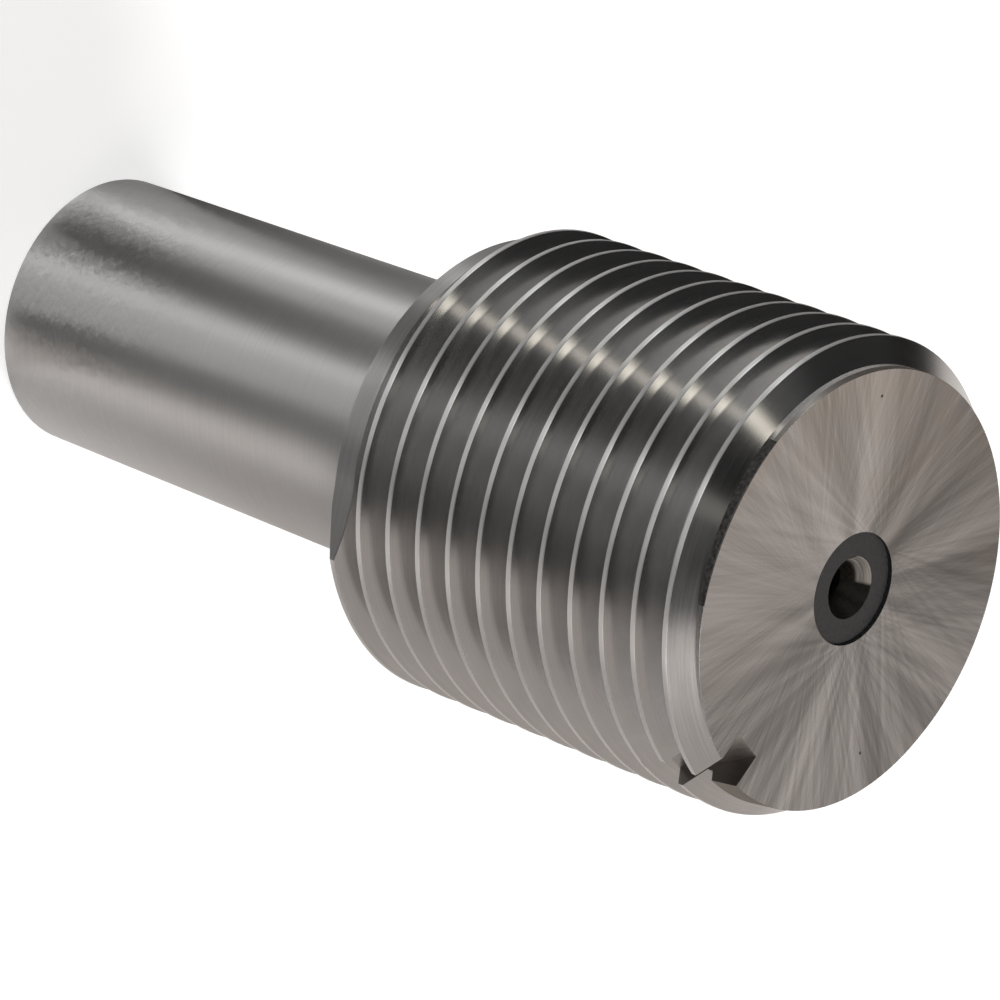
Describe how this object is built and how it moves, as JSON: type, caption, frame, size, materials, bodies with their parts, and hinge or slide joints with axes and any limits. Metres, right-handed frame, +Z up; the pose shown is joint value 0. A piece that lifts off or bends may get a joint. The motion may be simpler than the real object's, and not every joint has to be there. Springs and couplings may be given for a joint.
{
  "type": "thread plug gauge",
  "caption": "GO member of a thread plug gauge: right-hand metric thread on a cylindrical head, with a dirt slot and blended thread ends, on a plain taper shank.",
  "frame": {"origin": "centre of the shank's free end, the lowest point of the gauge", "axes": "+Z up the gauge's axis from the shank's free end to the front face of the threaded head; the dirt slot opens 37 degrees from +X towards -Y"},
  "size_m": [0.024, 0.024, 0.052],
  "materials": {
    "gauge_steel": "ground tool steel: mirror-like thread flanks, bright crests, satin shank, face ground with radial streaks"
  },
  "bodies": {
    "root": {"gauge_member": "gauge_steel"}
  },
  "joints": []
}
